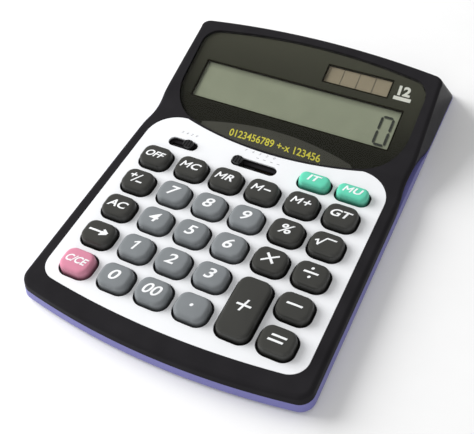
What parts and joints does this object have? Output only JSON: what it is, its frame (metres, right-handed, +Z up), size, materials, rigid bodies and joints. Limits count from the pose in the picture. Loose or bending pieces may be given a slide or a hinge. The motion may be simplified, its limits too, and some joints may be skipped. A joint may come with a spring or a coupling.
{
  "type": "desktop electronic calculator",
  "caption": "Desk calculator: wedge case with a level keypad of press keys, two slide switches and a tilted head with a liquid crystal display and solar cell under one lens.",
  "frame": {"origin": "under the middle of the case, on the surface the feet stand on", "axes": "+X to the user's right, +Y from the user towards the display, +Z up"},
  "size_m": [0.1412, 0.2109, 0.0299],
  "materials": {
    "shell_black": "glossy moulded",
    "shell_blue": "satin moulded",
    "plate_white": "satin",
    "lens_smoke": "clear smoky, printed from behind",
    "lcd_glass": "reflective liquid crystal glass",
    "inner_plastic": "moulded",
    "film": "flexible printed film",
    "solar_glass": "thin-film cell on glass",
    "board": "phenolic paper board",
    "epoxy": "cured resin",
    "mat_rubber": "silicone",
    "cell_steel": "nickel plated",
    "spring_steel": "plated spring strip",
    "screw_steel": "zinc plated",
    "foot_rubber": "matt",
    "knob_black": "satin moulded",
    "key_grey": "satin moulded",
    "key_dark": "satin moulded",
    "key_pink": "satin moulded",
    "key_green": "satin moulded"
  },
  "bodies": {
    "case": {"top_shell": "shell_black", "bottom_shell": "shell_blue", "keypad_plate": "plate_white", "display_lens": "lens_smoke", "lcd_panel": "lcd_glass", "lcd_holder": "inner_plastic", "lcd_ribbon": "film", "solar_cell": "solar_glass", "solar_ribbon": "film", "main_board": "board", "controller_chip": "epoxy", "dome_mat": "mat_rubber", "button_cell": "cell_steel", "upper_contact": "spring_steel", "side_contact": "spring_steel", "battery_ribbon": "film", "rubber_feet": "foot_rubber", "case_screws": "screw_steel", "board_screws": "screw_steel", "holder_screws": "screw_steel"},
    "rounding_switch": {"rounding_knob": "knob_black", "rounding_wiper": "spring_steel"},
    "decimal_switch": {"decimal_knob": "knob_black", "decimal_wiper": "spring_steel"},
    "battery_door": {"battery_cover": "shell_blue"},
    "key_off_body": {"key_off": "key_dark"},
    "key_memory_clear_body": {"key_memory_clear": "key_dark"},
    "key_memory_recall_body": {"key_memory_recall": "key_dark"},
    "key_memory_minus_body": {"key_memory_minus": "key_dark"},
    "key_memory_plus_body": {"key_memory_plus": "key_dark"},
    "key_grand_total_body": {"key_grand_total": "key_dark"},
    "key_sign_body": {"key_sign": "key_dark"},
    "key_7_body": {"key_7": "key_grey"},
    "key_8_body": {"key_8": "key_grey"},
    "key_9_body": {"key_9": "key_grey"},
    "key_percent_body": {"key_percent": "key_dark"},
    "key_root_body": {"key_root": "key_dark"},
    "key_all_clear_body": {"key_all_clear": "key_dark"},
    "key_4_body": {"key_4": "key_grey"},
    "key_5_body": {"key_5": "key_grey"},
    "key_6_body": {"key_6": "key_grey"},
    "key_multiply_body": {"key_multiply": "key_dark"},
    "key_divide_body": {"key_divide": "key_dark"},
    "key_backspace_body": {"key_backspace": "key_dark"},
    "key_1_body": {"key_1": "key_grey"},
    "key_2_body": {"key_2": "key_grey"},
    "key_3_body": {"key_3": "key_grey"},
    "key_plus_body": {"key_plus": "key_dark"},
    "key_minus_body": {"key_minus": "key_dark"},
    "key_clear_entry_body": {"key_clear_entry": "key_pink"},
    "key_0_body": {"key_0": "key_grey"},
    "key_double_zero_body": {"key_double_zero": "key_grey"},
    "key_point_body": {"key_point": "key_grey"},
    "key_equals_body": {"key_equals": "key_dark"},
    "key_item_body": {"key_item": "key_green"},
    "key_markup_body": {"key_markup": "key_green"}
  },
  "joints": [
    {"name": "rounding_slide", "type": "slide", "parent": "case", "child": "rounding_switch", "axis": [1, 0, 0], "range_m": [-0.0078, 0.0016]},
    {"name": "decimal_slide", "type": "slide", "parent": "case", "child": "decimal_switch", "axis": [1, 0, 0], "range_m": [0, 0.0172]},
    {"name": "battery_door_release", "type": "slide", "parent": "case", "child": "battery_door", "axis": [0, 0, -1], "range_m": [0, 0.008]},
    {"name": "key_off_press", "type": "slide", "parent": "case", "child": "key_off_body", "axis": [0, 0, -1], "range_m": [0, 0.0018], "stiffness_N_per_m": 250, "springref_m": -0.001, "deforming": ["dome_mat"]},
    {"name": "key_memory_clear_press", "type": "slide", "parent": "case", "child": "key_memory_clear_body", "axis": [0, 0, -1], "range_m": [0, 0.0018], "stiffness_N_per_m": 250, "springref_m": -0.001, "deforming": ["dome_mat"]},
    {"name": "key_memory_recall_press", "type": "slide", "parent": "case", "child": "key_memory_recall_body", "axis": [0, 0, -1], "range_m": [0, 0.0018], "stiffness_N_per_m": 250, "springref_m": -0.001, "deforming": ["dome_mat"]},
    {"name": "key_memory_minus_press", "type": "slide", "parent": "case", "child": "key_memory_minus_body", "axis": [0, 0, -1], "range_m": [0, 0.0018], "stiffness_N_per_m": 250, "springref_m": -0.001, "deforming": ["dome_mat"]},
    {"name": "key_memory_plus_press", "type": "slide", "parent": "case", "child": "key_memory_plus_body", "axis": [0, 0, -1], "range_m": [0, 0.0018], "stiffness_N_per_m": 250, "springref_m": -0.001, "deforming": ["dome_mat"]},
    {"name": "key_grand_total_press", "type": "slide", "parent": "case", "child": "key_grand_total_body", "axis": [0, 0, -1], "range_m": [0, 0.0018], "stiffness_N_per_m": 250, "springref_m": -0.001, "deforming": ["dome_mat"]},
    {"name": "key_sign_press", "type": "slide", "parent": "case", "child": "key_sign_body", "axis": [0, 0, -1], "range_m": [0, 0.0018], "stiffness_N_per_m": 250, "springref_m": -0.001, "deforming": ["dome_mat"]},
    {"name": "key_7_press", "type": "slide", "parent": "case", "child": "key_7_body", "axis": [0, 0, -1], "range_m": [0, 0.0018], "stiffness_N_per_m": 250, "springref_m": -0.001, "deforming": ["dome_mat"]},
    {"name": "key_8_press", "type": "slide", "parent": "case", "child": "key_8_body", "axis": [0, 0, -1], "range_m": [0, 0.0018], "stiffness_N_per_m": 250, "springref_m": -0.001, "deforming": ["dome_mat"]},
    {"name": "key_9_press", "type": "slide", "parent": "case", "child": "key_9_body", "axis": [0, 0, -1], "range_m": [0, 0.0018], "stiffness_N_per_m": 250, "springref_m": -0.001, "deforming": ["dome_mat"]},
    {"name": "key_percent_press", "type": "slide", "parent": "case", "child": "key_percent_body", "axis": [0, 0, -1], "range_m": [0, 0.0018], "stiffness_N_per_m": 250, "springref_m": -0.001, "deforming": ["dome_mat"]},
    {"name": "key_root_press", "type": "slide", "parent": "case", "child": "key_root_body", "axis": [0, 0, -1], "range_m": [0, 0.0018], "stiffness_N_per_m": 250, "springref_m": -0.001, "deforming": ["dome_mat"]},
    {"name": "key_all_clear_press", "type": "slide", "parent": "case", "child": "key_all_clear_body", "axis": [0, 0, -1], "range_m": [0, 0.0018], "stiffness_N_per_m": 250, "springref_m": -0.001, "deforming": ["dome_mat"]},
    {"name": "key_4_press", "type": "slide", "parent": "case", "child": "key_4_body", "axis": [0, 0, -1], "range_m": [0, 0.0018], "stiffness_N_per_m": 250, "springref_m": -0.001, "deforming": ["dome_mat"]},
    {"name": "key_5_press", "type": "slide", "parent": "case", "child": "key_5_body", "axis": [0, 0, -1], "range_m": [0, 0.0018], "stiffness_N_per_m": 250, "springref_m": -0.001, "deforming": ["dome_mat"]},
    {"name": "key_6_press", "type": "slide", "parent": "case", "child": "key_6_body", "axis": [0, 0, -1], "range_m": [0, 0.0018], "stiffness_N_per_m": 250, "springref_m": -0.001, "deforming": ["dome_mat"]},
    {"name": "key_multiply_press", "type": "slide", "parent": "case", "child": "key_multiply_body", "axis": [0, 0, -1], "range_m": [0, 0.0018], "stiffness_N_per_m": 250, "springref_m": -0.001, "deforming": ["dome_mat"]},
    {"name": "key_divide_press", "type": "slide", "parent": "case", "child": "key_divide_body", "axis": [0, 0, -1], "range_m": [0, 0.0018], "stiffness_N_per_m": 250, "springref_m": -0.001, "deforming": ["dome_mat"]},
    {"name": "key_backspace_press", "type": "slide", "parent": "case", "child": "key_backspace_body", "axis": [0, 0, -1], "range_m": [0, 0.0018], "stiffness_N_per_m": 250, "springref_m": -0.001, "deforming": ["dome_mat"]},
    {"name": "key_1_press", "type": "slide", "parent": "case", "child": "key_1_body", "axis": [0, 0, -1], "range_m": [0, 0.0018], "stiffness_N_per_m": 250, "springref_m": -0.001, "deforming": ["dome_mat"]},
    {"name": "key_2_press", "type": "slide", "parent": "case", "child": "key_2_body", "axis": [0, 0, -1], "range_m": [0, 0.0018], "stiffness_N_per_m": 250, "springref_m": -0.001, "deforming": ["dome_mat"]},
    {"name": "key_3_press", "type": "slide", "parent": "case", "child": "key_3_body", "axis": [0, 0, -1], "range_m": [0, 0.0018], "stiffness_N_per_m": 250, "springref_m": -0.001, "deforming": ["dome_mat"]},
    {"name": "key_plus_press", "type": "slide", "parent": "case", "child": "key_plus_body", "axis": [0, 0, -1], "range_m": [0, 0.0018], "stiffness_N_per_m": 250, "springref_m": -0.001, "deforming": ["dome_mat"]},
    {"name": "key_minus_press", "type": "slide", "parent": "case", "child": "key_minus_body", "axis": [0, 0, -1], "range_m": [0, 0.0018], "stiffness_N_per_m": 250, "springref_m": -0.001, "deforming": ["dome_mat"]},
    {"name": "key_clear_entry_press", "type": "slide", "parent": "case", "child": "key_clear_entry_body", "axis": [0, 0, -1], "range_m": [0, 0.0018], "stiffness_N_per_m": 250, "springref_m": -0.001, "deforming": ["dome_mat"]},
    {"name": "key_0_press", "type": "slide", "parent": "case", "child": "key_0_body", "axis": [0, 0, -1], "range_m": [0, 0.0018], "stiffness_N_per_m": 250, "springref_m": -0.001, "deforming": ["dome_mat"]},
    {"name": "key_double_zero_press", "type": "slide", "parent": "case", "child": "key_double_zero_body", "axis": [0, 0, -1], "range_m": [0, 0.0018], "stiffness_N_per_m": 250, "springref_m": -0.001, "deforming": ["dome_mat"]},
    {"name": "key_point_press", "type": "slide", "parent": "case", "child": "key_point_body", "axis": [0, 0, -1], "range_m": [0, 0.0018], "stiffness_N_per_m": 250, "springref_m": -0.001, "deforming": ["dome_mat"]},
    {"name": "key_equals_press", "type": "slide", "parent": "case", "child": "key_equals_body", "axis": [0, 0, -1], "range_m": [0, 0.0018], "stiffness_N_per_m": 250, "springref_m": -0.001, "deforming": ["dome_mat"]},
    {"name": "key_item_press", "type": "slide", "parent": "case", "child": "key_item_body", "axis": [0, 0, -1], "range_m": [0, 0.0018], "stiffness_N_per_m": 250, "springref_m": -0.001, "deforming": ["dome_mat"]},
    {"name": "key_markup_press", "type": "slide", "parent": "case", "child": "key_markup_body", "axis": [0, 0, -1], "range_m": [0, 0.0018], "stiffness_N_per_m": 250, "springref_m": -0.001, "deforming": ["dome_mat"]}
  ]
}
